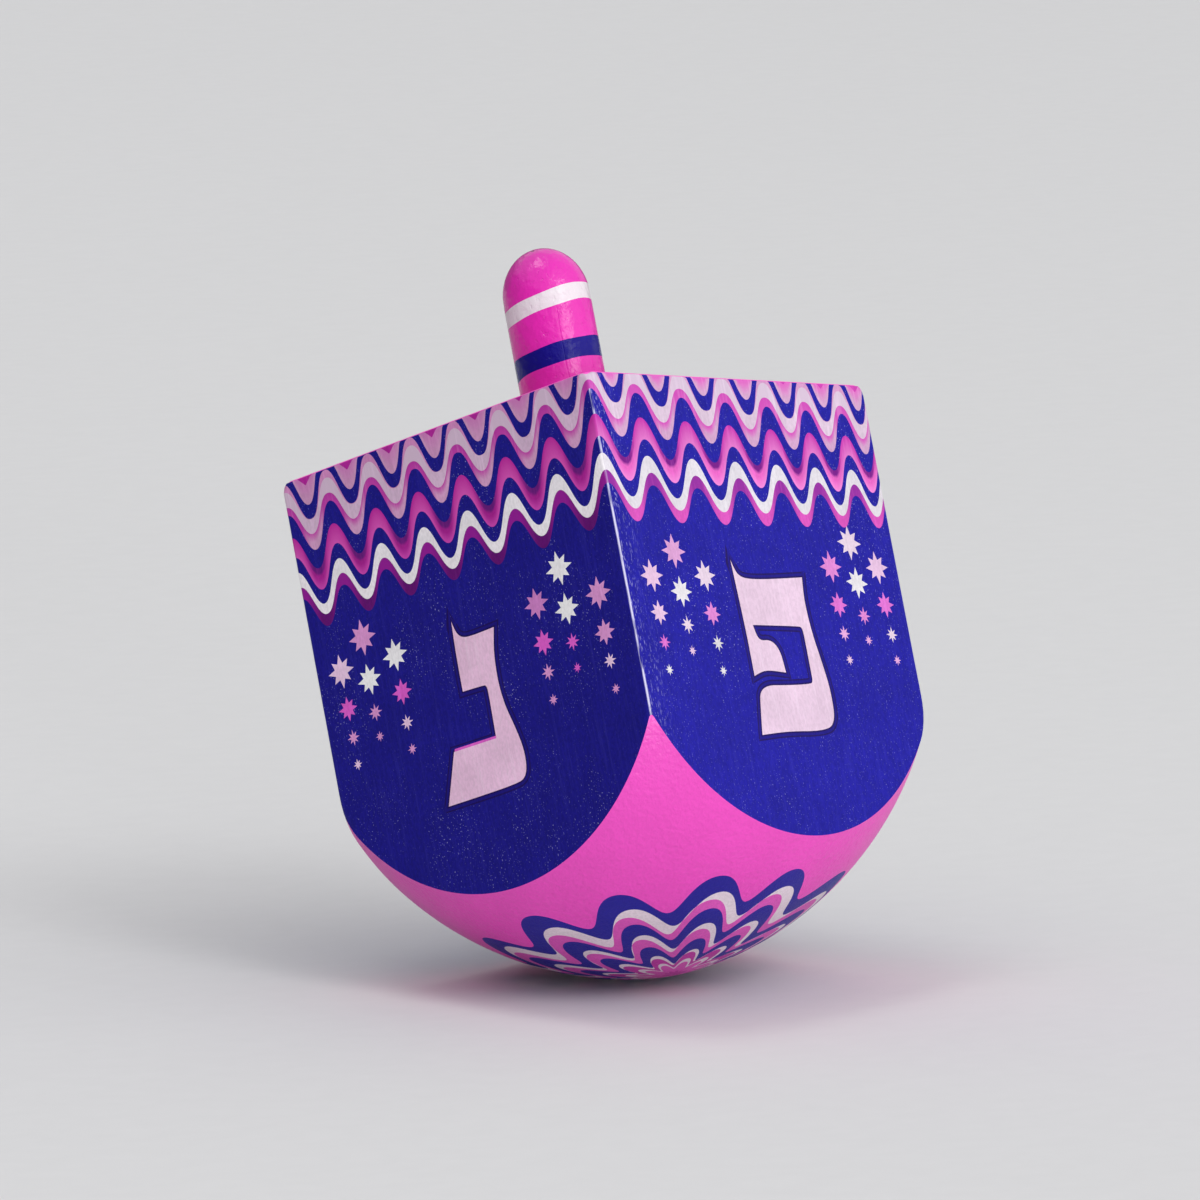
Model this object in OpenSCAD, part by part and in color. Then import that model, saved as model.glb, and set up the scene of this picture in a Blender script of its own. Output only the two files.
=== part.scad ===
// A painted wooden dreidel: a square block with a domed underside, and a round stem
// whose tenon is glued into a blind bore in the middle of the block's top face.
// Millimetres. It lies on one of its four faces, as it comes to rest after a spin: the spin axis
// runs along +X from the dome's tip to the stem, and the origin is under the middle on the table.

/* [Block] */
// Width of the block across two opposite faces
body_w = 49; // [42:0.5:58]
// Height of the block from the dome's tip to the top face
body_h = 65; // [55:0.5:80]
// Height at which the four upright edges start, above the dome's tip
dome_h = 24.4; // [18:0.1:27]
// Slope of the dome where it meets the axis, in degrees, which leaves a shallow point to spin on
tip_slope = 3.5; // [0.5:0.5:5]
// Radius of the eased upright and top edges
edge_r = 0.4; // [0.3:0.1:2]

/* [Stem] */
// Diameter of the stem that the fingers twirl
stem_d = 10.3; // [8:0.1:14]
// Height of the stem above the top face, with its round end
stem_h = 22.5; // [15:0.5:30]
// Diameter of the tenon under the stem's shoulder
tenon_d = 7; // [5:0.1:7.6]
// Length of the tenon
tenon_l = 14; // [8:0.5:20]
// Chamfer on the tenon's lower end
tenon_chamfer = 0.6; // [0.2:0.1:1.2]

/* [Glue joint] */
// Gap between the tenon and the bore's wall, all round
glue_gap = 0.05; // [0.02:0.01:0.15]
// Room left under the tenon for glue
glue_room = 1; // [0.5:0.1:3]

/* [Hidden] */
$fn = 96;
// Overrun of cuts past a face
over = 1;
// The block's half width, and how far its eased upright edges lie from the axis
half_w = body_w / 2;
corner_r = half_w * sqrt(2) - edge_r * (sqrt(2) - 1);
// The dome is an arc through the tip and through the foot of the upright edges, turned about the
// axis. The arc's centre lies a little past the axis, and so the dome comes to a shallow point.
dome_r = (pow(corner_r, 2) + pow(dome_h, 2)) / (2 * (dome_h * cos(tip_slope) - corner_r * sin(tip_slope)));
dome_off = dome_r * sin(tip_slope);
dome_z = dome_r * cos(tip_slope);
stem_r = stem_d / 2;
tenon_r = tenon_d / 2;
bore_r = tenon_r + glue_gap;
bore_depth = tenon_l + glue_room;
total_h = body_h + stem_h;

// Each piece is drawn upright with the dome's tip at the origin, and this lays it on its face
module laid() {
    translate([-total_h / 2, 0, half_w])
        rotate([-90, 0, -90])
            children();
}

// A rectangle from [-w/2, low] to [w/2, high], with the named corners eased by edge_r
module eased(w, low, high, both_ends) {
    inner = w / 2 - edge_r;
    foot = both_ends ? low + edge_r : low;
    translate([-w / 2, foot])
        square([w, high - edge_r - foot]);
    translate([-inner, low])
        square([2 * inner, high - low]);
    for (x = [-inner, inner], y = both_ends ? [foot, high - edge_r] : [high - edge_r])
        translate([x, y])
            circle(r = edge_r);
}

// The block before its underside is turned: eased upright edges and eased top edges
module block() {
    intersection() {
        translate([0, 0, -over])
            linear_extrude(body_h + over)
                eased(body_w, -half_w, half_w, true);
        for (turn = [0, 90])
            rotate([90, 0, turn])
                linear_extrude(body_w + 2 * over, center = true)
                    eased(body_w, -over, body_h, false);
    }
}

// The turned underside's half profile, open upwards past the block's top face
module turned_profile() {
    intersection() {
        union() {
            translate([-dome_off, dome_z])
                circle(r = dome_r);
            translate([-dome_r, dome_z])
                square([2 * dome_r - dome_off, body_h]);
        }
        square([dome_r, dome_z + body_h]);
    }
}

// Wooden block with its domed underside and the blind bore for the stem's tenon
module body() {
    color([0.13, 0.1, 0.5])
        laid()
            difference() {
                intersection() {
                    block();
                    rotate_extrude()
                        turned_profile();
                }
                translate([0, 0, body_h - bore_depth])
                    cylinder(r = bore_r, h = bore_depth + over);
            }
}

// Turned stem with a round top, a shoulder that sits on the top face, and a tenon
module stem() {
    color([0.93, 0.25, 0.7])
        laid()
            translate([0, 0, body_h])
                rotate_extrude() {
                    square([stem_r, stem_h - stem_r]);
                    intersection() {
                        translate([0, stem_h - stem_r])
                            circle(r = stem_r);
                        square([stem_r, stem_h]);
                    }
                    polygon([
                        [0, -tenon_l],
                        [tenon_r - tenon_chamfer, -tenon_l],
                        [tenon_r, tenon_chamfer - tenon_l],
                        [tenon_r, 0],
                        [0, 0]
                    ]);
                }
}

body();
stem();
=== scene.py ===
import math
import random

import bmesh
import bpy
from mathutils import Matrix, Vector
from mathutils.geometry import delaunay_2d_cdt


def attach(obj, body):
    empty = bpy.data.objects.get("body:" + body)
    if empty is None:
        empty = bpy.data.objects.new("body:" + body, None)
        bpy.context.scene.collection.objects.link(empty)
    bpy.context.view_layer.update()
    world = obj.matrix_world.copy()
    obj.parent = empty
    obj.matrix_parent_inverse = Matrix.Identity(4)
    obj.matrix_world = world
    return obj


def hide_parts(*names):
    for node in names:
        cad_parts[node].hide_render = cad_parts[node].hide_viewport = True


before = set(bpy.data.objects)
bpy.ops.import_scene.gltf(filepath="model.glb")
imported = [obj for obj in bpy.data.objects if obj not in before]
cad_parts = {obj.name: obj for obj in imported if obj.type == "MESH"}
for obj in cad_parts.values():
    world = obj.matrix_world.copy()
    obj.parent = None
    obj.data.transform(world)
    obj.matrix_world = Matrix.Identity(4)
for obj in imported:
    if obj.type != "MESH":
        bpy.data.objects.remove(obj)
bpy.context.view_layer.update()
rng = random.Random(11)

# ---------------------------------------------------------------- sizes in mm, upright, tip at the origin
BODY_W = 49
BODY_H = 65
DOME_H = 24.4
TIP_SLOPE = math.radians(3.5)
EDGE_R = 0.4
STEM_R = 5.15
STEM_H = 22.5
CAP_H = 6.0
TENON_R = 3.5
TENON_L = 14
TENON_CHAMFER = 0.6
GLUE_GAP = 0.05
GLUE_ROOM = 1

HALF = BODY_W / 2
CORNER_R = HALF * math.sqrt(2) - EDGE_R * (math.sqrt(2) - 1)
DOME_R = (CORNER_R**2 + DOME_H**2) / (2 * (DOME_H * math.cos(TIP_SLOPE) - CORNER_R * math.sin(TIP_SLOPE)))
DOME_OFF = DOME_R * math.sin(TIP_SLOPE)
DOME_Z = DOME_R * math.cos(TIP_SLOPE)
TOTAL_H = BODY_H + STEM_H

# A face unrolled: FLAT is where the eased edge starts, REACH its middle, and LIP and TOP the same upwards.
# The paint of the wave border ends at RIM.
FLAT = HALF - EDGE_R
REACH = FLAT + EDGE_R * math.pi / 4
LIP = BODY_H - EDGE_R
TOP = LIP + EDGE_R * math.pi / 2
RIM = LIP + 0.25

# The four faces: direction along each one and outwards, and its letter. The next face starts where one ends.
TURNS = [((1, 0), (0, -1)), ((0, 1), (1, 0)), ((-1, 0), (0, 1)), ((0, -1), (-1, 0))]
LETTERS = ["nun", "pe", "he", "gimel"]

# Both ends of the upright edges are rubbed round, up to this far in: the upper end to a ball of this radius,
# and the foot to this depth, over this width
WORN_IN = 3
WORN_BALL = 4.6
FOOT_RUB = 0.3
FOOT_RUB_W = 1.2


def row(p):
    """A point of the upright dreidel, in mm, in the row's frame in metres."""
    x, y, z = p
    return Vector(((z - TOTAL_H / 2) / 1000, -x / 1000, (HALF - y) / 1000))


def turned(v):
    """A direction of the upright dreidel in the row's frame."""
    return Vector((v[2], -v[0], -v[1]))


def dome_height(r):
    """How high the dome lies at a distance from the axis."""
    return DOME_Z - math.sqrt(DOME_R**2 - (r + DOME_OFF) ** 2)


def wall_point(k, u, v):
    """The point of face k at u across it and v up it, round the eased edges too."""
    (tx, ty), (nx, ny) = TURNS[k]
    b = max(0, v - LIP) / EDGE_R
    z = v if v < LIP else LIP + EDGE_R * math.sin(b)
    ease = EDGE_R * math.cos(b)
    a = max(0, abs(u) - FLAT) / EDGE_R
    side = math.copysign(min(abs(u), FLAT) + ease * math.sin(a), u)
    out = FLAT + ease * math.cos(a)
    return (side * tx + out * nx, side * ty + out * ny, z)


def wall_foot(u):
    """How high a face starts above the tip, at u across it."""
    x, y, _ = wall_point(0, u, LIP)
    return dome_height(math.hypot(x, y))


def worn(p):
    """A point of the block once both ends of its upright edges are rubbed round."""
    x, y, z = p
    r = math.hypot(x, y)
    if r > CORNER_R - WORN_IN and z < DOME_Z:
        arc = math.sqrt(DOME_R**2 - (DOME_Z - z) ** 2) - DOME_OFF
        limit = min(CORNER_R, arc) - FOOT_RUB * max(0, 1 - abs(CORNER_R - arc) / FOOT_RUB_W) ** 2
        if r > limit:
            x, y = x * limit / r, y * limit / r
    a, b, c = abs(x) - HALF + WORN_IN, abs(y) - HALF + WORN_IN, z - BODY_H + WORN_IN
    d = math.sqrt(a * a + b * b + c * c)
    if min(a, b, c) > 0 and d > WORN_BALL:
        a, b, c = a * WORN_BALL / d, b * WORN_BALL / d, c * WORN_BALL / d
        x, y = math.copysign(HALF - WORN_IN + a, x), math.copysign(HALF - WORN_IN + b, y)
        z = BODY_H - WORN_IN + c
    return x, y, z


# ---------------------------------------------------------------- painted pattern on the faces
WAVES = 7
# How scuffed each face is along its two upright edges, and how wide the edge's band is
SCUFFS = [(0.15, 0.25), (1.0, 0.12), (0.3, 0.4), (0.4, 0.3)]
EDGE_BAND = 6
# Each line of the wave border: height at a crest, height at a trough, shift along the face in waves, how far
# its slopes are lifted, and how square it is (0 for a sharp point at each trough)
LINES = [
    (50.9, 47.1, 0.0, 0.0, 0.12),
    (52.3, 48.5, -0.01, -0.1, 0.12),
    (54.1, 49.8, 0.01, 0.0, 0.12),
    (55.9, 51.5, 0.0, 0.0, 0.12),
    (56.8, 52.35, 0.0, 0.2, 0.12),
    (57.5, 52.95, 0.0, 0.4, 0.12),
    (58.3, 54.05, 0.01, 0.0, 0.12),
    (61.0, 56.3, 0.0, 0.0, 0.15),
    (61.05, 57.6, 0.01, 0.1, 0.15),
    (62.0, 58.2, 0.015, 0.1, 0.2),
    (63.8, 59.95, 0.0, -0.1, 0.25),
    (64.7, 60.0, 0.0, -0.1, 0.25),
    (66.2, 61.7, 0.0, 0.45, 0.25),
    (67.3, 63.3, 0.0, 0.3, 0.2),
    (65.9, 63.95, 0.0, 0.0, 0.0),
]
# The paint below the first line, between each two, and above the last
BANDS = [
    "navy", "low_magenta", "white", "navy", "pink", "pink", "pink", "navy",
    "blush", "blush", "lilac", "arch", "navy", "crown", "crown", "crown_deep",
]
# The lines where the paints that fade start and end, and how late the blush turns, in waves
FADE_LINES = (3, 6, 7, 9, 11, 12)
BLUSH_LATE = 0.09
# The nun face and the he face across from it have paints fitted to how the lamps light the nun face, some
# darker
# and some lighter: partly painted shade and painted light, partly paint that differs from face to face
SHADE_TUNED_FACES = ["nun", "he"]
# How much wider the waves are at one end of a face, and how much closer they are at both ends
SKEW = [0.10, -0.235, 0.06, -0.08]
TWIST = [0.0, -0.10, 0.0, 0.0]
# At the corner where each face starts: shift of the waves, lift of the lowest and of the highest line, and
# how much taller the waves are
SHIFT = [0.0, 0.0, -0.17, 0.0]
LOW_LIFT = [0.0, 0.45, 0.45, 0.1]
HIGH_LIFT = [-0.1, 2.0, 0.0, 0.2]
GAIN = [0.06, 0.18, 0.0, 0.03]
# How late the next corner's lift starts on each face, and how the upper lines drift along it at both ends
LATE = [6, 2, 2, 2]
DRIFT = [(-0.09, -0.03), (0.0, -0.12), (-0.04, -0.04), (-0.05, 0.0)]
# Middle height of the lowest line, about how far above it the highest one lies, and how far each line wanders
LOW_LINE = 49
LINE_SPAN = 15
WANDER = 0.05


def shade(paint, letter):
    """The name of a paint as it is on the face with this letter; on the nun and he faces, its copy that holds
    painted shade and painted light.
    """
    return paint + "_shade_tuned" if letter in SHADE_TUNED_FACES else paint


def wave_count(k, u):
    """How many waves of the border lie between the start of face k and u."""
    x = u / REACH
    turn = SHIFT[k] * (1 - x) / 2 + SHIFT[(k + 1) % 4] * (1 + x) / 2
    return WAVES / 2 * (x + 1) + (SKEW[k] + TWIST[k] * x) * (1 - x * x) + turn


def line_height(k, line, u):
    """How high a line of the wave border lies at u across face k."""
    crest, trough, shift, swell, square = LINES[line]
    x = (u / REACH + 1) / 2
    n = (k + 1) % 4
    mid, swing = (crest + trough) / 2, (crest - trough) / 2
    high = (mid - LOW_LINE) / LINE_SPAN
    start = LOW_LIFT[k] + (HIGH_LIFT[k] - LOW_LIFT[k]) * high
    end = LOW_LIFT[n] + (HIGH_LIFT[n] - LOW_LIFT[n]) * high
    lift = start * (1 - x) + end * x ** LATE[k]
    gain = 1 + GAIN[k] * (1 - x) + GAIN[n] * x**2
    ends = math.sin(math.pi * x) ** 0.3 if 0 < x < 1 else 0
    shift += ends * high * (DRIFT[k][0] * (1 - x) + DRIFT[k][1] * x)
    turn = 2 * math.pi * (wave_count(k, u) + shift)
    wander = WANDER * math.sin(math.pi * x) * math.sin(5 * x + 1.7 * line + 2.3 * k)
    if square:
        wave = math.cos(turn) * (1 + square * math.sin(turn) ** 2)
    else:
        wave = 2 * abs(math.cos(turn / 2)) - 1
    return min(RIM, mid + gain * swing * wave + swell * math.sin(turn) ** 2 + lift + wander)


def fade_zone(k, u, v):
    """The two heights between which the paint at this point fades, and how late its tone turns."""
    pink_low, pink_high, blush_low, blush_high, arch_high, crown_low = (
        line_height(k, line, u) for line in FADE_LINES
    )
    if v > arch_high + 0.02:
        return crown_low, RIM, 0.0
    if v > (pink_high + blush_low) / 2:
        return blush_low, blush_high, BLUSH_LATE
    return pink_low, pink_high, 0.0


# How far each star of a column lies below the first, and how large each is: in the outer columns of a
# cluster, and in its middle one
STAR_STEPS = [0, 4.5, 8.0, 11.2]
STAR_SIZES = [1.95, 1.5, 1.0, 0.68]
MIDDLE_STEPS = [0, 4.8, 8.8, 11.8]
MIDDLE_SIZES = [2.1, 1.85, 1.1, 0.65]
# Each cluster's three columns: place across the face, height of the first star, the four colours downwards,
# and how far the column leans
CLUSTERS = {
    "nun": [
        [(-20.5, 41.3, "amia", 0), (-16.4, 44.2, "iwii", 0), (-11.9, 41.0, "wmai", 0)],
        [(10.6, 41.0, "nmii", 0), (15.0, 44.2, "wwmm", 0), (20.0, 39.8, "iiai", 0)],
    ],
    "pe": [
        [(-19.8, 40.9, "aamw", 0), (-15.2, 43.9, "iwba", 0), (-10.5, 41.0, "bnww", 0)],
        [(12.2, 42.6, "nmia", 0.03), (16.4, 45.6, "bwni", 0.02), (20.6, 42.7, "ambi", 0.05)],
    ],
    "he": [
        [(-20.2, 41.2, "iwma", 0), (-15.7, 44.1, "wami", 0), (-11.2, 41.0, "amwi", 0)],
        [(11.4, 41.1, "wima", 0), (15.8, 44.2, "iwam", 0), (20.2, 40.8, "amiw", 0)],
    ],
    "gimel": [
        [(-20.3, 41.0, "waim", 0), (-15.9, 44.0, "iwma", 0), (-11.3, 41.2, "miaw", 0)],
        [(11.2, 41.2, "mwai", 0), (15.6, 44.1, "waiw", 0), (20.1, 41.0, "iamw", 0)],
    ],
}
STAR_PAINT = {"w": "snow", "b": "blossom", "a": "petal", "i": "rose", "n": "deep_rose", "m": "fuchsia"}
# How far each kind of corner lies from the centre of a star of size 1, and the size above which the notches
# are shallower
STAR_CROSS = 1.0
STAR_DIAGONAL = 0.88
STAR_NOTCH = 0.4
BIG_STAR_NOTCH = 0.5
BIG_STAR = 1.3


def star(x, z, r, tilt):
    """The outline of a star with eight points, those up, down and sideways a little longer."""
    out = []
    for i in range(16):
        a = math.pi / 8 * i + tilt
        if i % 2:
            reach = BIG_STAR_NOTCH if r > BIG_STAR else STAR_NOTCH
        else:
            reach = STAR_DIAGONAL if i % 4 else STAR_CROSS
        out.append((x + r * reach * math.sin(a), z + r * reach * math.cos(a)))
    return out


def stars(letter):
    """The stars of a face, each with its paint."""
    out = []
    for cluster in CLUSTERS[letter]:
        for column, (x, top, paints, lean) in enumerate(cluster):
            drops, sizes = (MIDDLE_STEPS, MIDDLE_SIZES) if column == 1 else (STAR_STEPS, STAR_SIZES)
            for paint, drop, size in zip(paints, drops, sizes):
                px = x + lean * drop + rng.uniform(-0.06, 0.06)
                pz = top - drop + rng.uniform(-0.1, 0.1)
                r = size * rng.uniform(0.97, 1.05)
                tilt = rng.uniform(-0.08, 0.08)
                out.append((shade(STAR_PAINT[paint], letter), star(px, pz, r, tilt)))
    return out


# Outlines of the four letters of the game, clockwise. A third number marks a soft corner.
NUN = [
    (-2.5, 42.5), (-2.1, 41.0, 1), (-1.2, 40.2, 1), (0.6, 40.1, 1), (3.7, 40.2), (3.0, 37.5, 1),
    (2.8, 34.0, 1), (3.2, 31.0, 1), (4.2, 28.0, 1), (4.9, 25.0, 1), (4.5, 22.2, 1), (2.4, 21.8, 1),
    (-8.0, 21.9), (-5.7, 27.8), (1.0, 27.7), (1.1, 33.0, 1), (1.0, 34.0, 1), (0.4, 34.1, 1),
    (-2.7, 34.2), (-2.7, 38.3, 1),
]
PE = [
    (-5.5, 43.0), (-4.9, 41.4, 1), (-3.6, 40.8, 1), (0.0, 40.8, 1), (6.7, 41.2), (6.3, 38.5, 1),
    (6.6, 34.5, 1), (7.4, 31.0, 1), (8.0, 27.5, 1), (7.7, 23.6, 1), (5.0, 22.8, 1), (-1.0, 22.7, 1),
    (-5.7, 22.2), (-5.2, 25.0, 1), (-4.5, 28.1, 1), (1.0, 28.2, 1), (4.4, 28.4, 1), (5.1, 28.6, 1),
    (5.1, 30.0, 1), (5.1, 34.0, 1), (5.0, 35.2, 1), (4.2, 35.3, 1), (-3.7, 35.3), (-3.2, 33.4, 1),
    (-1.0, 33.6, 1), (0.3, 32.4, 1), (0.6, 29.7), (-3.0, 30.0, 1), (-5.1, 29.2), (-5.1, 34.0, 1),
    (-5.3, 39.0, 1),
]
HE = [
    (-6.2, 43.0), (-5.7, 41.4, 1), (-4.4, 40.8, 1), (0.0, 40.8, 1), (6.6, 41.2), (6.2, 38.0, 1),
    (6.4, 33.0, 1), (7.0, 27.0, 1), (6.6, 22.0), (3.6, 22.4), (4.2, 27.0, 1), (3.9, 35.2, 1),
    (-6.0, 35.6, 1), (-6.1, 39.0, 1),
]
HE_LEG = [(-5.6, 33.2), (-2.4, 33.4), (-2.9, 28.0, 1), (-2.6, 22.4), (-5.8, 22.0), (-5.2, 27.0, 1)]
GIMEL = [
    (-2.8, 42.6), (-2.4, 41.2, 1), (-1.4, 40.4, 1), (0.6, 40.2, 1), (3.6, 40.4), (3.0, 37.0, 1),
    (3.2, 32.0, 1), (4.6, 28.6, 1), (5.6, 24.0, 1), (5.2, 21.8), (2.2, 22.0), (2.4, 25.2, 1),
    (1.0, 27.4, 1), (-1.6, 26.0, 1), (-3.4, 21.8), (-6.6, 21.9), (-5.4, 26.0, 1), (-1.6, 29.6, 1),
    (0.6, 32.0, 1), (0.4, 35.0, 1), (-2.8, 35.2), (-2.9, 38.6, 1),
]
SHAPES = {"nun": [NUN], "pe": [PE], "he": [HE, HE_LEG], "gimel": [GIMEL]}
# A bright sliver of paint beside the nun's foot
GLINTS = {"nun": [[(-5.6, 27.8), (1.0, 27.7), (1.0, 28.0), (-5.5, 28.1)]]}
# The letter lies within this part of its face
LETTER_REACH = 10
LETTER_LOW = 20
LETTER_HIGH = 45
# How far from the letter its dark outline ends, then a lighter stripe, then a dark hairline
OUTLINE_W = 0.2
DUSK_W = 0.5
HAIRLINE_W = 0.68
# A grown outline's sharp corners reach no further than its growth divided by this
CORNER_LIMIT = 0.35


def softened(points):
    """The outline with its soft corners cut round, three times over."""
    out = [(p[0], p[1], len(p) == 3) for p in points]
    for _ in range(3):
        cut = []
        for i, (x, z, soft) in enumerate(out):
            if not soft:
                cut.append((x, z, False))
                continue
            (ax, az, _), (bx, bz, _) = out[i - 1], out[(i + 1) % len(out)]
            cut.append((x + (ax - x) * 0.25, z + (az - z) * 0.25, True))
            cut.append((x + (bx - x) * 0.25, z + (bz - z) * 0.25, True))
        out = cut
    return [(x, z) for x, z, _ in out]


def grown(points, by):
    """The outline moved outwards by a distance, with long points cut short."""
    out = []
    n = len(points)
    for i in range(n):
        p, a, b = Vector(points[i]), Vector(points[i - 1]), Vector(points[(i + 1) % n])
        d, e = (p - a).normalized(), (b - p).normalized()
        na, nb = Vector((-d.y, d.x)), Vector((-e.y, e.x))
        m = na + nb
        m = m.normalized() if m.length > 1e-6 else na
        out.append(tuple(p + m * (by / max(CORNER_LIMIT, m.dot(na)))))
    return out


def inside(poly, x, z):
    """Whether a point lies inside an outline."""
    hit = False
    ax, az = poly[-1]
    for bx, bz in poly:
        if (az > z) != (bz > z) and x < (bx - ax) * (z - az) / (bz - az) + ax:
            hit = not hit
        ax, az = bx, bz
    return hit


def gap_to(poly, x, z):
    """How far a point lies from an outline."""
    best = 1e9
    ax, az = poly[-1]
    for bx, bz in poly:
        dx, dz = bx - ax, bz - az
        t = max(0, min(1, ((x - ax) * dx + (z - az) * dz) / (dx * dx + dz * dz + 1e-12)))
        best = min(best, math.hypot(x - ax - t * dx, z - az - t * dz))
        ax, az = bx, bz
    return best


# ---------------------------------------------------------------- materials
class Nodes:
    """The nodes of a material or of the world, each made with its values and links at once."""

    def __init__(self, owner):
        owner.use_nodes = True
        self.tree = owner.node_tree
        self.all = self.tree.nodes

    def fill(self, node, sockets):
        """Links other nodes' outputs to a node's sockets, or sets the sockets' own values."""
        for name, value in sockets.items():
            socket = node.inputs[name]
            if isinstance(value, bpy.types.NodeSocket):
                self.tree.links.new(value, socket)
            elif socket.type == "RGBA":
                socket.default_value = (*value, 1)
            else:
                socket.default_value = value

    def add(self, kind, out, sockets=None):
        """A new node, as the named or numbered one of its outputs."""
        node = self.all.new(kind)
        self.fill(node, sockets or {})
        return node.outputs[out]

    def span(self, value, low, high, out_low=0.0, out_high=1.0):
        """A value between low and high, turned into one between the other two."""
        ends = {"From Min": low, "From Max": high, "To Min": out_low, "To Max": out_high}
        return self.add("ShaderNodeMapRange", "Result", {"Value": value, **ends})

    def maths(self, operation, a, b=0.0):
        node = self.all.new("ShaderNodeMath")
        node.operation = operation
        self.fill(node, {0: a, 1: b})
        return node.outputs[0]

    def times(self, a, b):
        return self.maths("MULTIPLY", a, b)

    def vector(self, operation, a, b):
        """A dot product or a distance."""
        node = self.all.new("ShaderNodeVectorMath")
        node.operation = operation
        self.fill(node, {0: a, 1: b})
        return node.outputs["Value"]

    def tint(self, colour, by):
        """One colour times a value that varies."""
        node = self.all.new("ShaderNodeVectorMath")
        node.operation = "SCALE"
        self.fill(node, {0: colour, "Scale": by})
        return node.outputs["Vector"]

    def mix(self, amount, below, above):
        """Two colours mixed. The numbers are the node's places for its factor, colours and result."""
        node = self.all.new("ShaderNodeMix")
        node.data_type = "RGBA"
        self.fill(node, {0: amount, 6: below, 7: above})
        return node.outputs[2]


class Coat(Nodes):
    """The nodes of a material, with the place on its surface."""

    def __init__(self, material):
        super().__init__(material)
        self.place = self.add("ShaderNodeNewGeometry", "Position")

    def painted(self, name):
        """A number that the mesh holds at each of its vertices."""
        node = self.all.new("ShaderNodeAttribute")
        node.attribute_name = name
        return node.outputs["Fac"]

    def noise(self, scale, stretch=(1, 1, 1), detail=2.0, roughness=0.5):
        where = self.add("ShaderNodeMapping", "Vector", {"Vector": self.place, "Scale": stretch})
        sockets = {"Vector": where, "Scale": scale, "Detail": detail, "Roughness": roughness}
        return self.add("ShaderNodeTexNoise", "Fac", sockets)

    def bump(self, height, distance, strength=1.0, under=None):
        """The surface's direction with bumps, on top of those under them."""
        sockets = {"Height": height, "Distance": distance, "Strength": strength}
        if under is not None:
            sockets["Normal"] = under
        return self.add("ShaderNodeBump", "Normal", sockets)


def scaled(colour, by, plus=0.0):
    """A colour made lighter or darker, and no lighter than white."""
    return tuple(min(1, c * by + plus) for c in colour)


# Colours of worn paint; the light line along the upright edges is partly rubbed paint and partly a painted
# highlight of the eased edge
CHIP = (0.50, 0.49, 0.80)
SCUFF = (0.50, 0.48, 0.84)
RUBBED_AND_HIGHLIGHT = (0.80, 0.77, 1.0)
NICK = (0.05, 0.008, 0.04)
# Where the nick in the stem's round end lies, in mm, and between which distances from there it fades out, in
# metres
NICK_AT = (0.87, -1.88, 87.0)
NICK_FADE = (0.00015, 0.0003)
# The stem's seam: the direction across it, which turns metres into mm, and the two ends of its wander, its
# half width in mm, and where it fades out along the stem, in metres
SEAM_ACROSS = (0, -643, -766)
SEAM_WANDER = (18.57, 18.97)
SEAM_W = 0.11
SEAM_END = (0.0345, 0.0365)


def dents(n):
    """The height of a fine seam along the stem, and of small pits beside it."""
    across = n.vector("DOT_PRODUCT", n.place, SEAM_ACROSS)
    wander = n.span(n.noise(300, (1, 0.01, 0.01), 3), 0.0, 1.0, *SEAM_WANDER)
    off = n.maths("ABSOLUTE", n.maths("ADD", across, wander))
    along = n.vector("DOT_PRODUCT", n.place, (1, 0, 0))
    off = n.maths("ADD", off, n.span(along, *SEAM_END, 0.0, SEAM_W + 0.01))
    pits = n.span(n.noise(1700, detail=1), 0.68, 0.73, 1.0, 0.3)
    return n.times(n.span(off, 0.0, SEAM_W), pits)


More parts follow.
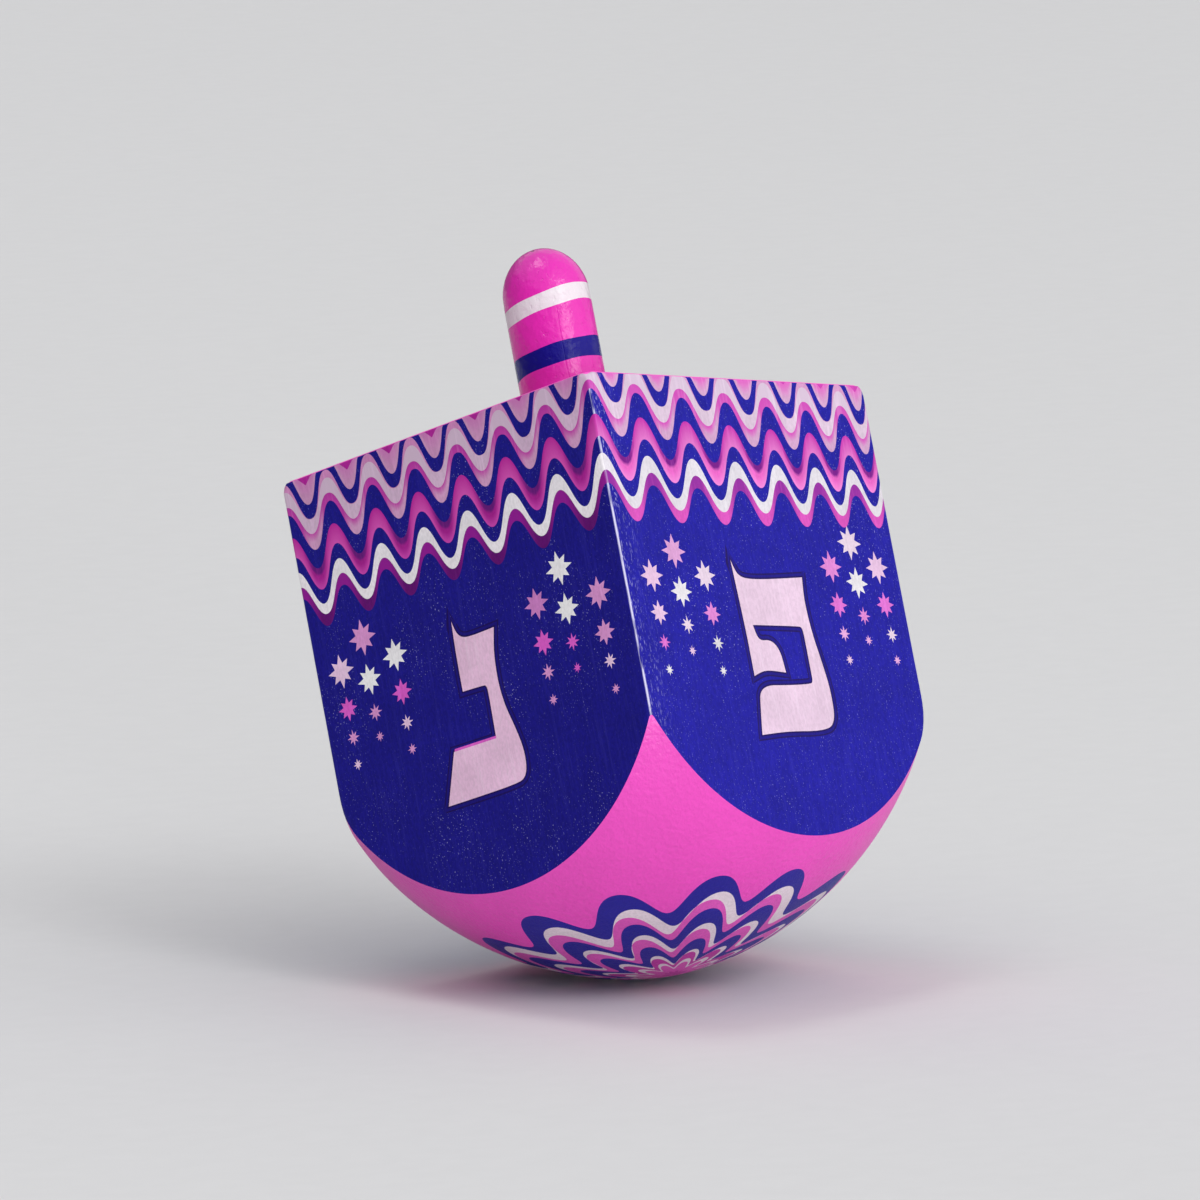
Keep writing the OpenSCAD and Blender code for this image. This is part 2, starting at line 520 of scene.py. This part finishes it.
def make(name, colour, deep=None, over=None, deep_over=None, under=None, rise=(0.4, 0.8), turn=(0.1, 0.9),
         rough=0.5, shine=0.1, specks=0.0, even=0.05, grain=0.0, wear_and_highlight=0.0, spread=0.08, peel=0.0, dabs=520,
         fine=0.22, micro=1.0, handled=False):
    """A coat of satin paint on wood, with grain, small pores and chips. Its colour turns to the deep one with
    'tone', and each of these to the one over it with 'fade'. A handled coat has a seam, pits and a nick."""
    m = bpy.data.materials.new(name)
    n = Coat(m)
    mottle = n.noise(3200, (0.6, 1, 1), 3, 0.6)
    streak = n.noise(2400, (0.06, 1, 1), 3, 0.6)
    pit = n.noise(5200, (0.35, 1, 1))
    cloud = n.span(n.noise(180, detail=3), 0.3, 0.7)
    paint = n.mix(cloud, scaled(colour, 1 - spread), scaled(colour, 1 + spread))
    if fine:
        paint = n.mix(n.times(n.span(mottle, 0.38, 0.60, 1.0, 0.0), fine), paint, scaled(colour, 0.5))
    if over:
        height = n.maths("ADD", n.painted("fade"), n.times(mottle, 0.12))
        if under:
            paint = n.mix(n.span(height, 0.05, 0.55), under, paint)
        paint = n.mix(n.span(height, *rise), paint, over)
        deep = n.mix(n.span(height, 0.0, 1.05), deep, deep_over)
    if deep:
        paint = n.mix(n.span(n.painted("tone"), *turn), paint, deep)
    if grain:
        paint = n.mix(n.times(n.span(streak, 0.52, 0.75), grain), paint, scaled(colour, 1.5, 0.03))
    if specks:
        fleck = n.span(n.noise(5800, (0.8, 1, 1), 1), 0.68, 0.74)
        where = n.span(n.noise(120, (0.5, 1, 1), 4, 0.65), 0.46, 0.68, even)
        paint = n.mix(n.times(n.times(fleck, where), specks), paint, CHIP)
        dash = n.span(n.noise(7000, (0.22, 1, 1), 1), 0.61, 0.70)
        dash = n.times(dash, n.span(n.noise(260, (0.4, 1, 1), 3), 0.36, 0.62))
        dash = n.times(dash, n.span(n.painted("scuff"), 0.3, 0.95))
        paint = n.mix(n.times(dash, 0.62), paint, SCUFF)
    # A light line along the upright edges: rubbed paint, and a painted highlight of the eased edge
    if wear_and_highlight:
        rub_and_highlight = n.span(n.noise(2600, (0.10, 1, 1), 3), 0.34, 0.52)
        rub_and_highlight = n.times(rub_and_highlight, n.span(n.painted("edge"), 0.97, 0.994))
        paint = n.mix(n.times(rub_and_highlight, wear_and_highlight), paint, RUBBED_AND_HIGHLIGHT)
    if handled:
        away = n.vector("DISTANCE", n.place, row(NICK_AT))
        paint = n.mix(n.span(away, *NICK_FADE, 1.0, 0.0), paint, NICK)
    normal = n.bump(pit, 0.00006, 0.35 * micro)
    normal = n.bump(streak, 0.00008, 0.45 * micro, normal)
    if peel:
        normal = n.bump(n.noise(dabs, detail=4), peel / 1000, 1.0, normal)
    if handled:
        normal = n.bump(dents(n), 0.00004, 1.0, normal)
    n.fill(n.all["Principled BSDF"], {
        "Base Color": paint,
        "Roughness": n.span(pit, 0.3, 0.7, rough - 0.05, rough + 0.08),
        "Specular IOR Level": shine,
        "Normal": normal,
    })
    return m


PINK = (0.95, 0.074, 0.585)
NAVY = dict(specks=0.85, grain=0.2, wear_and_highlight=0.9, fine=0.4)
PINK_BAND = dict(rise=(0.66, 0.82), turn=(0.1, 0.6), grain=0.2)
BLUSH_BAND = dict(rise=(0.5, 1.0), turn=(0.2, 0.6), grain=0.2)
CROWN_BAND = dict(rise=(0.2, 0.9), grain=0.2)
DOME = dict(rough=0.42, shine=0.3, peel=0.05)
STEM = dict(rough=0.13, spread=0.03, peel=0.16, dabs=900, fine=0.05, micro=0.3, handled=True)
# Each paint's copy for the nun and he faces is fitted to how the lamps light the nun face, some darker and
# some
# lighter: partly painted shade and painted light, partly paint that differs from face to face
PAINTS = {
    "navy": make("paint_navy", (0.0125, 0.0102, 0.325), even=0.3, **NAVY),
    "navy_shade_tuned": make("paint_navy_shade_tuned", (0.011, 0.0085, 0.255), **NAVY),
    "deep": make("paint_outline", (0.0125, 0.0045, 0.105), grain=0.1),
    "dusk": make("paint_dusk_navy", (0.0125, 0.0075, 0.215), grain=0.1),
    "pink": make("paint_pink", (0.74, 0.12, 0.51), deep=(0.68, 0.18, 0.53), over=(0.17, 0.008, 0.22),
                 deep_over=(0.50, 0.026, 0.36), under=(0.81, 0.23, 0.63), **PINK_BAND),
    "pink_shade_tuned": make("paint_pink_shade_tuned", (0.42, 0.016, 0.30), deep=(0.70, 0.10, 0.48),
                      over=(0.14, 0.010, 0.20), deep_over=(0.50, 0.022, 0.33), under=(0.64, 0.07, 0.46),
                      **PINK_BAND),
    "low_magenta": make("paint_magenta", (0.65, 0.085, 0.47), deep=(0.27, 0.024, 0.31), grain=0.2, wear_and_highlight=0.3),
    "low_magenta_shade_tuned": make("paint_magenta_shade_tuned", (0.13, 0.005, 0.17), deep=(0.30, 0.012, 0.30), grain=0.2,
                             wear_and_highlight=0.3),
    "blush": make("paint_blush", (0.60, 0.345, 0.55), deep=(0.58, 0.085, 0.45), over=(0.60, 0.08, 0.45),
                  deep_over=(0.56, 0.065, 0.42), **BLUSH_BAND),
    "blush_shade_tuned": make("paint_blush_shade_tuned", (0.67, 0.35, 0.58), deep=(0.54, 0.055, 0.40),
                       over=(0.56, 0.07, 0.41), deep_over=(0.48, 0.040, 0.36), **BLUSH_BAND),
    "lilac": make("paint_lilac", (0.66, 0.515, 0.645), deep=(0.61, 0.48, 0.61), grain=0.3),
    "lilac_shade_tuned": make("paint_lilac_shade_tuned", (0.69, 0.48, 0.66), deep=(0.66, 0.49, 0.64), grain=0.3),
    "arch": make("paint_arch", (0.62, 0.30, 0.53), grain=0.3),
    "arch_shade_tuned": make("paint_arch_shade_tuned", (0.66, 0.26, 0.54), grain=0.3),
    "crown": make("paint_crown", (0.62, 0.36, 0.57), deep=(0.62, 0.36, 0.57), over=(0.66, 0.13, 0.49),
                  deep_over=(0.66, 0.13, 0.49), **CROWN_BAND),
    "crown_shade_tuned": make("paint_crown_shade_tuned", (0.64, 0.32, 0.55), deep=(0.64, 0.32, 0.55),
                       over=(0.60, 0.20, 0.49), deep_over=(0.60, 0.20, 0.49), **CROWN_BAND),
    "crown_deep": make("paint_crown_deep", (0.60, 0.055, 0.43), grain=0.2),
    "crown_deep_shade_tuned": make("paint_crown_deep_shade_tuned", (0.46, 0.020, 0.33), grain=0.2),
    "white": make("paint_white", (0.70, 0.66, 0.72), grain=0.2),
    "white_shade_tuned": make("paint_white_shade_tuned", (0.93, 0.88, 0.93), grain=0.2),
    "snow": make("paint_snow", (0.72, 0.69, 0.73), grain=0.2),
    "snow_shade_tuned": make("paint_snow_shade_tuned", (0.96, 0.92, 0.96), grain=0.2),
    "blossom": make("paint_blossom", (0.73, 0.59, 0.71), grain=0.2),
    "blossom_shade_tuned": make("paint_blossom_shade_tuned", (0.93, 0.78, 0.92), grain=0.2),
    "petal": make("paint_petal", (0.73, 0.49, 0.69), grain=0.2),
    "petal_shade_tuned": make("paint_petal_shade_tuned", (0.88, 0.62, 0.84), grain=0.2),
    "rose": make("paint_rose", (0.70, 0.35, 0.64), grain=0.3),
    "rose_shade_tuned": make("paint_rose_shade_tuned", (0.75, 0.32, 0.66), grain=0.3),
    "deep_rose": make("paint_deep_rose", (0.67, 0.22, 0.59), grain=0.3),
    "deep_rose_shade_tuned": make("paint_deep_rose_shade_tuned", (0.66, 0.24, 0.60), grain=0.3),
    "fuchsia": make("paint_fuchsia", (0.67, 0.153, 0.58), grain=0.3),
    "fuchsia_shade_tuned": make("paint_fuchsia_shade_tuned", (0.78, 0.12, 0.63), grain=0.3),
    "letter": make("paint_letter", (0.74, 0.55, 0.695), grain=0.2),
    "letter_shade_tuned": make("paint_letter_shade_tuned", (0.92, 0.60, 0.82), grain=0.2),
    "dome": make("paint_dome_pink", PINK, rough=0.38, shine=0.6, spread=0.03, peel=0.12, dabs=1500,
                 fine=0.08, micro=1.2),
    "top": make("paint_top_pink", PINK, rough=0.42, shine=0.3, spread=0.05, grain=0.1, fine=0.1),
    "ring_navy": make("paint_ring_navy", (0.018, 0.014, 0.33), **DOME),
    "ring_rose": make("paint_ring_rose", (0.82, 0.11, 0.56), **DOME),
    "ring_wine": make("paint_ring_magenta", (0.62, 0.04, 0.42), **DOME),
    "ring_white": make("paint_ring_white", (0.90, 0.78, 0.86), **DOME),
    "bare": make("bare_wood", (0.52, 0.33, 0.17), rough=0.7, spread=0.25, grain=0.5),
    "stem": make("paint_stem_pink", (0.74, 0.020, 0.43), shine=0.42, **STEM),
    "stem_white": make("paint_stem_white", (0.77, 0.74, 0.77), shine=0.3, **STEM),
    "stem_navy": make("paint_stem_navy", (0.009, 0.006, 0.22), shine=0.14, **STEM),
}
STEM_PAINTS = ["stem", "stem_white", "stem_navy", "bare"]
BLOCK_PAINTS = [p for p in PAINTS if not p.startswith("stem")]


# ---------------------------------------------------------------- mesh of the block
# The parts of the block's surface, between which its creases stay sharp
WALL, UNDERSIDE, LID, BORE, BORE_END = 1, 2, 3, 4, 5


def steps(low, high, n):
    """Even steps from low to high, both of them included."""
    return [low + (high - low) * i / n for i in range(n + 1)]


def circle(n):
    """The angles of n points round a circle."""
    return steps(0, 2 * math.pi, n)[:-1]


class Sheet:
    """Lines and points on a flat sheet, to be cut into triangles."""

    def __init__(self):
        self.points = []
        self.edges = []

    def line(self, points, closed=False):
        first = len(self.points)
        self.points += points
        self.edges += [(first + i, first + i + 1) for i in range(len(points) - 1)]
        if closed:
            self.edges.append((len(self.points) - 1, first))

    def cut(self):
        """The vertices, and the triangles with the middle of each, so that every line stays an edge."""
        points = [Vector(p) for p in self.points]
        verts, _, tris, *_ = delaunay_2d_cdt(points, self.edges, [], 0, 1e-6)
        middles = [(sum(verts[i].x for i in tri) / 3, sum(verts[i].y for i in tri) / 3) for tri in tris]
        return verts, list(zip(tris, middles))


EASES = steps(FLAT, REACH, 3)
FOOT_US = [-u for u in reversed(EASES)] + steps(-FLAT, FLAT, 96)[1:-1] + EASES
LID_US = steps(-FLAT, FLAT, 48)
SEAM_VS = steps(DOME_H, LIP, 40)
POINTS_PER_WAVE = 36


def wall(k, bm, paint_of):
    """Face k of the block, cut along its painted lines."""
    letter = LETTERS[k]
    s = Sheet()
    s.line([(u, wall_foot(u)) for u in FOOT_US])
    for u in [-e for e in EASES] + EASES:
        s.line([(u, wall_foot(u))] + [(u, v) for v in SEAM_VS if v > wall_foot(u) + 0.01])
        s.line([(u, LIP), (u, TOP)])
    for v in steps(LIP, TOP, 5)[:-1] + [RIM, TOP]:
        s.line([(-REACH, v)] + [(u, v) for u in LID_US] + [(REACH, v)])
    for line in range(len(LINES)):
        s.line([(u, line_height(k, line, u)) for u in steps(-REACH, REACH, WAVES * POINTS_PER_WAVE)])
    marks = stars(letter)
    for _, poly in marks:
        s.line(poly, True)
    shapes = [softened(p) for p in SHAPES[letter]]
    for poly in shapes:
        s.line(poly, True)
        for width in (OUTLINE_W, DUSK_W, HAIRLINE_W):
            s.line(grown(poly, width), True)
    glints = GLINTS.get(letter, [])
    for poly in glints:
        s.line(poly, True)
    # Points between the lines, about 1 mm apart, keep the triangles even
    u = -FLAT + 0.7
    while u < FLAT:
        v = wall_foot(u) + 0.6
        while v < LIP - 0.3:
            s.points.append((u + rng.uniform(-0.05, 0.05), v))
            v += 1.0
        u += 1.0

    def colour(u, v):
        if v > RIM:
            return "top"
        band = sum(v > line_height(k, i, u) for i in range(len(LINES)))
        if BANDS[band] != "navy":
            return shade(BANDS[band], letter)
        if band:
            return shade("navy", letter)
        for paint, poly in marks:
            if abs(poly[0][0] - u) < 3 and abs(poly[0][1] - v) < 6 and inside(poly, u, v):
                return paint
        if abs(u) < LETTER_REACH and LETTER_LOW < v < LETTER_HIGH:
            if any(inside(p, u, v) for p in shapes):
                return shade("letter", letter)
            if any(inside(p, u, v) for p in glints):
                return shade("fuchsia", letter)
            near = min(gap_to(p, u, v) for p in shapes)
            if near < HAIRLINE_W:
                return "dusk" if OUTLINE_W < near < DUSK_W else "deep"
        return shade("navy", letter)

    verts, tris = s.cut()
    made = []
    for v in verts:
        p = bm.verts.new(row(worn(wall_point(k, v.x, v.y))))
        low, high, late = fade_zone(k, v.x, v.y)
        p[paint_of["tone"]] = 0.5 + 0.5 * math.cos(2 * math.pi * (wave_count(k, v.x) - late))
        p[paint_of["edge"]] = max(0, 1 - (REACH - abs(v.x)) / EDGE_BAND)
        p[paint_of["scuff"]] = SCUFFS[k][v.x > 0] * p[paint_of["edge"]]
        p[paint_of["fade"]] = min(1, max(0, (v.y - low) / max(0.01, high - low)))
        made.append(p)
    for tri, (u, v) in tris:
        if v < wall_foot(u) - 1e-4:
            continue
        try:
            f = bm.faces.new([made[i] for i in tri])
        except ValueError:
            continue
        f.material_index = paint_of[colour(u, v)]
        f[paint_of["part"]] = WALL


# Rings of the flower round the tip: mean radius, swing, and turn of its lobes in degrees
LOBES = 11
RINGS = [
    (18.9, 2.1, 1.5),
    (16.5, 2.15, 3.5),
    (15.2, 2.35, 0.5),
    (13.7, 2.35, 1.5),
    (11.3, 2.25, 2.5),
    (10.5, 2.15, 0.5),
    (8.8, 1.95, 1.5),
    (6.5, 1.7, 2.5),
    (5.9, 1.55, 0.5),
    (4.3, 1.2, 1.5),
    (3.5, 1.0, 1.5),
    (1.2, 0.35, 1.5),
]
# Where the lobes stray from an even flower: turn in radians, or bulge in mm, then the side and the width,
# both in degrees
NUDGES = [(0.3, -125, 20), (-0.4, -28, 14), (-0.9, 40, 15)]
BULGES = [(0.7, -125, 20), (-0.35, -60, 20), (0.9, 40, 20)]
# The paint outside the first ring, between each two, and inside the last
RING_PAINTS = [
    "dome", "ring_navy", "ring_white", "ring_rose", "ring_navy", "ring_white", "ring_rose", "ring_navy",
    "ring_white", "ring_wine", "ring_white", "ring_rose", "ring_wine",
]


def stray(side, places):
    """How far the flower strays from an even one on its side at this many degrees."""
    return sum(d * math.exp(-(((side - c) / w) ** 2)) for d, c, w in places)


def ring_radius(ring, a):
    """How far a ring of the flower lies from the axis at angle a."""
    mean, swing, turn = RINGS[ring]
    side = (math.degrees(a) + 180) % 360 - 180
    p = LOBES * (a - math.radians(turn)) + stray(side, NUDGES)
    bulge = mean / RINGS[0][0] * stray(side, BULGES)
    return mean + bulge + swing * (math.cos(p) - 0.12 * math.cos(2 * p)) + 0.15 * math.sin(3 * a + ring)


def dome(bm, paint_of):
    """The turned underside, cut along the rings of its painted flower."""
    s = Sheet()
    rim = []
    for k in range(4):
        rim += [wall_point(k, u, LIP)[:2] for u in FOOT_US[:-1]]
    s.line(rim, True)
    for ring in range(len(RINGS)):
        round_ring = [(ring_radius(ring, a), a) for a in circle(360 if ring < 8 else 180)]
        s.line([(r * math.cos(a), r * math.sin(a)) for r, a in round_ring], True)
    for i in range(-24, 25):
        for j in range(-24, 25):
            x, y = i + rng.uniform(-0.1, 0.1), j + rng.uniform(-0.1, 0.1)
            if max(abs(x), abs(y)) < HALF - 0.5 and math.hypot(x, y) < CORNER_R - 1:
                s.points.append((x, y))
    s.points.append((0, 0))
    verts, tris = s.cut()
    made = []
    for v in verts:
        p = bm.verts.new(row(worn((v.x, v.y, dome_height(math.hypot(v.x, v.y))))))
        p[paint_of["tone"]] = 0.5
        made.append(p)
    for tri, (x, y) in tris:
        r, a = math.hypot(x, y), math.atan2(y, x)
        f = bm.faces.new([made[i] for i in tri])
        ring = sum(r < ring_radius(i, a) for i in range(len(RINGS)))
        f.material_index = paint_of[RING_PAINTS[ring]]
        f[paint_of["part"]] = UNDERSIDE


def lid(bm, paint_of):
    """The flat top, round the bore for the tenon, and the bore itself."""
    bore = TENON_R + GLUE_GAP
    low = BODY_H - TENON_L - GLUE_ROOM
    hole = [(bore * math.cos(a), bore * math.sin(a)) for a in circle(96)]
    s = Sheet()
    edge = []
    for k in range(4):
        edge += [wall_point(k, u, TOP)[:2] for u in LID_US[:-1]]
    s.line(edge, True)
    s.line(hole, True)
    for i in range(-11, 12):
        for j in range(-11, 12):
            if math.hypot(i, j) * 2 > bore + 1:
                s.points.append((i * 2 + rng.uniform(-0.3, 0.3), j * 2 + rng.uniform(-0.3, 0.3)))
    verts, tris = s.cut()
    made = [bm.verts.new(row(worn((v.x, v.y, BODY_H)))) for v in verts]

    def face(corners, paint, part):
        f = bm.faces.new(corners)
        f.material_index = paint_of[paint]
        f[paint_of["part"]] = part

    for tri, (x, y) in tris:
        if math.hypot(x, y) > bore * 0.999:
            face([made[i] for i in tri], "top", LID)
    mouth, end = [[bm.verts.new(row((x, y, z))) for x, y in hole] for z in (BODY_H, low)]
    for i in range(len(hole)):
        j = (i + 1) % len(hole)
        face([mouth[i], mouth[j], end[j], end[i]], "bare", BORE)
    face(end, "bare", BORE_END)


def placed(name, data):
    """A new object in the scene."""
    o = bpy.data.objects.new(name, data)
    bpy.context.scene.collection.objects.link(o)
    return o


def finish_mesh(name, bm, paints, part):
    """Joins what touches, turns the faces outwards and keeps the creases between parts."""
    bmesh.ops.remove_doubles(bm, verts=bm.verts, dist=2e-6)
    bmesh.ops.dissolve_degenerate(bm, dist=1e-7, edges=bm.edges)
    bmesh.ops.recalc_face_normals(bm, faces=bm.faces)
    for f in bm.faces:
        f.smooth = True
    for e in bm.edges:
        kinds = {f[part] for f in e.link_faces}
        e.smooth = len(kinds) == 1 or kinds == {WALL, LID}
    loose = [e for e in bm.edges if len(e.link_faces) != 2]
    print(name, "faces", len(bm.faces), "open edges", len(loose))
    mesh = bpy.data.meshes.new(name)
    bm.to_mesh(mesh)
    bm.free()
    for p in paints:
        mesh.materials.append(PAINTS[p])
    o = placed(name, mesh)
    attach(o, "root")
    return o


def block():
    """The whole block, with its painted faces, its dome, its top and its bore."""
    bm = bmesh.new()
    layers = {p: i for i, p in enumerate(BLOCK_PAINTS)}
    for name in ("tone", "edge", "fade", "scuff"):
        layers[name] = bm.verts.layers.float.new(name)
    layers["part"] = bm.faces.layers.int.new("part")
    for k in range(4):
        wall(k, bm, layers)
    dome(bm, layers)
    lid(bm, layers)
    o = finish_mesh("dreidel_block", bm, BLOCK_PAINTS, layers["part"])
    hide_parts("body")


# ---------------------------------------------------------------- stem
# Where the paint changes on the stem's side: height in mm and the paint above it
STEM_MARKS = [(72.7, "stem_navy"), (75.1, "stem"), (79.4, "stem_white"), (81.4, "stem")]
# The hand-painted rings slant: by how much the lower and the upper one, above which height, and to which side
SLANTS = (0.7, 0.9)
UPPER_RING = 77
SLANT_SIDE = math.radians(40)
STEM_SIDES = 96
# How many of its rows, from the tenon's end up, the stem has below its shoulder
TENON_ROWS = 4


def stem():
    """The turned stem, with a white ring and a navy ring painted round it by hand."""
    bm = bmesh.new()
    part = bm.faces.layers.int.new("part")
    cap = BODY_H + STEM_H - CAP_H
    foot = BODY_H - TENON_L
    rows = [
        (0, foot, "bare"), (TENON_R - TENON_CHAMFER, foot, "bare"), (TENON_R, foot + TENON_CHAMFER, "bare"),
        (TENON_R, BODY_H, "bare"), (STEM_R, BODY_H, "stem"),
    ]
    rows += [(STEM_R, z, paint) for z, paint in STEM_MARKS]
    for a in steps(10, 90, 13):
        b = math.radians(a)
        rows.append((STEM_R * math.cos(b), cap + CAP_H * math.sin(b), "stem"))
    rings = []
    for i, (r, z, _) in enumerate(rows):
        ring = []
        for a in circle(STEM_SIDES):
            dz, reach = 0, r
            if r == STEM_R and z > BODY_H:
                dz = SLANTS[z > UPPER_RING] * math.cos(a - SLANT_SIDE)
                dz += 0.05 * math.sin(2 * a + i) + 0.04 * math.sin(5 * a + 2 * i)
                reach = r * math.sqrt(1 - max(0, (z + dz - cap) / CAP_H) ** 2)
            ring.append(bm.verts.new(row((reach * math.cos(a), reach * math.sin(a), z + dz))))
        rings.append(ring)
    for i in range(len(rows) - 1):
        paint = rows[i + 1][2] if i < TENON_ROWS else rows[i][2]
        for j in range(STEM_SIDES):
            k = (j + 1) % STEM_SIDES
            f = bm.faces.new([rings[i][j], rings[i][k], rings[i + 1][k], rings[i + 1][j]])
            f.material_index = STEM_PAINTS.index(paint)
            f[part] = min(i, TENON_ROWS + 1)
    o = finish_mesh("dreidel_stem", bm, STEM_PAINTS, part)
    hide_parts("stem")


block()
stem()

# ---------------------------------------------------------------- camera, placed round the upright dreidel
AZ = math.radians(40.136)
EL = math.radians(-10.755)
ROLL = math.radians(10.666)
AIM = (-0.301, -0.253, 45.01)
DISTANCE = 1399.8

back = Vector((math.sin(AZ) * math.cos(EL), -math.cos(AZ) * math.cos(EL), math.sin(EL)))
level_right = Vector((-back.y, back.x, 0)).normalized()
up = math.cos(ROLL) * back.cross(level_right) + math.sin(ROLL) * level_right
right = up.cross(back)
lens = bpy.data.cameras.new("camera")
lens.sensor_width = 36
lens.lens = 360
lens.clip_start = 0.1
lens.clip_end = 20
camera = placed("camera", lens)
facing = Matrix((turned(right), turned(up), turned(back))).transposed().to_4x4()
camera.matrix_world = Matrix.Translation(row(Vector(AIM) + back * DISTANCE)) @ facing
bpy.context.scene.camera = camera

# ---------------------------------------------------------------- floor, which touches the leaning dome
FLOOR_TILT = math.radians(9)
# The floor's corners in mm, right and towards the camera
FLOOR_CORNERS = [(-1500, 700), (1500, 700), (1500, -1500), (-1500, -1500)]
# Its colour, and a far and a near place on it, in metres towards the camera, with its tone at each
PAPER = (0.70, 0.70, 0.708)
PAPER_ENDS = (-1.2, 0.35)
PAPER_TONES = (0.915, 0.99)
# How much of its light the paper throws back on the dreidel
PAPER_GLOW = 0.80

floor_up = (math.cos(FLOOR_TILT) * up + math.sin(FLOOR_TILT) * back).normalized()
floor_near = right.cross(floor_up)
touch_r = DOME_R * math.sin(math.acos(floor_up.z)) - DOME_OFF
touch = -touch_r * Vector((floor_up.x, floor_up.y, 0)).normalized()
touch.z = dome_height(touch_r)


def on_floor(x, y, z=0.0):
    """A studio point: x right, y towards the camera and z up, in mm from where the dome touches the floor."""
    return row(touch + right * x + floor_near * y + floor_up * z)


def paper():
    """Pale paper, a little darker far off, and clear from below."""
    m = bpy.data.materials.new("floor_paper")
    n = Coat(m)
    fibre = n.span(n.add("ShaderNodeTexNoise", "Fac", {"Scale": 900}), 0.0, 1.0, 0.98, 1.02)
    nearness = n.vector("DOT_PRODUCT", n.place, turned(floor_near))
    depth = n.span(nearness, *PAPER_ENDS, *PAPER_TONES)
    seen = n.span(n.add("ShaderNodeLightPath", "Is Camera Ray"), 0.0, 1.0, PAPER_GLOW)
    tone = n.times(n.times(depth, fibre), seen)
    coat = n.all["Principled BSDF"]
    n.fill(coat, {"Base Color": n.tint(PAPER, tone), "Roughness": 0.85, "Specular IOR Level": 0.0})
    below = n.add("ShaderNodeNewGeometry", "Backfacing")
    clear = n.add("ShaderNodeBsdfTransparent", 0)
    sides = n.add("ShaderNodeMixShader", 0, {0: below, 1: coat.outputs[0], 2: clear})
    n.fill(n.all["Material Output"], {"Surface": sides})
    return m


bm = bmesh.new()
bm.faces.new([bm.verts.new(on_floor(x, y)) for x, y in FLOOR_CORNERS])
floor_mesh = bpy.data.meshes.new("floor")
bm.to_mesh(floor_mesh)
bm.free()
floor_mesh.materials.append(paper())
floor = placed("floor", floor_mesh)

# ---------------------------------------------------------------- light
AMBIENT = (0.97, 0.97, 1.0)
AMBIENT_STRENGTH = 0.17
BACKDROP = (0.66, 0.66, 0.68)

world = bpy.data.worlds.new("world")
bpy.context.scene.world = world
sky = Nodes(world)
ambient = sky.all["Background"]
sky.fill(ambient, {"Color": AMBIENT, "Strength": AMBIENT_STRENGTH})
backdrop = sky.add("ShaderNodeBackground", 0, {"Color": BACKDROP, "Strength": 1.0})
seen = sky.add("ShaderNodeLightPath", "Is Camera Ray")
pick = sky.add("ShaderNodeMixShader", 0, {0: seen, 1: ambient.outputs[0], 2: backdrop})
sky.fill(sky.all["World Output"], {"Surface": pick})


def soft_sun(name, towards, strength, spread):
    """A wide, even light from one side: towards is right, towards the camera, and up."""
    data = bpy.data.lights.new(name, "SUN")
    data.energy = strength * math.pi
    data.angle = math.radians(spread)
    o = placed(name, data)
    o.rotation_mode = "QUATERNION"
    o.rotation_quaternion = (on_floor(*towards) - on_floor(0, 0)).to_track_quat("Z", "Y")


soft_sun("key", (0.72, 0.56, 0.42), 0.26, 84)
soft_sun("window", (0.54, 0.56, 0.63), 0.16, 24)
soft_sun("front", (0.28, 0.95, 0.045), 0.335, 12)
soft_sun("ceiling", (0.22, -0.12, 0.95), 0.50, 140)
soft_sun("top", (-0.25, -0.09, 0.96), 0.12, 22)

bpy.context.scene.view_settings.view_transform = "Standard"
